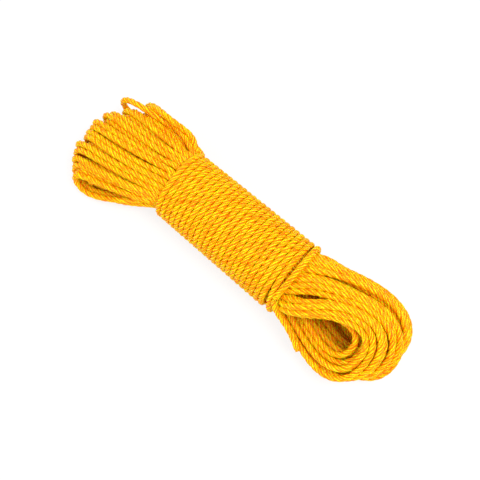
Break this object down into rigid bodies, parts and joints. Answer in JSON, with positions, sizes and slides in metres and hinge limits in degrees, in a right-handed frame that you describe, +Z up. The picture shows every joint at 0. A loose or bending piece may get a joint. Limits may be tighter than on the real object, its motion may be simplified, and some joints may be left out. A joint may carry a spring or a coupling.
{
  "type": "hank of twisted rope",
  "caption": "Length of yellow three-strand twisted rope folded into a long hank, bound round the waist with its own end and locked by a last turn that leaves a short tail.",
  "frame": {"origin": "bottom centre of the hank's box, on the surface that it lies on", "axes": "+X along the hank towards the end with the open eye and the tail, +Z up, the eye's open side towards -Y"},
  "size_m": [0.2674, 0.079, 0.063],
  "materials": {
    "rope": "satin twisted filament"
  },
  "bodies": {
    "root": {"hank_loops": "rope", "waist_winding": "rope", "locking_turn": "rope", "start_end": "rope", "cut_tail": "rope"}
  },
  "joints": []
}
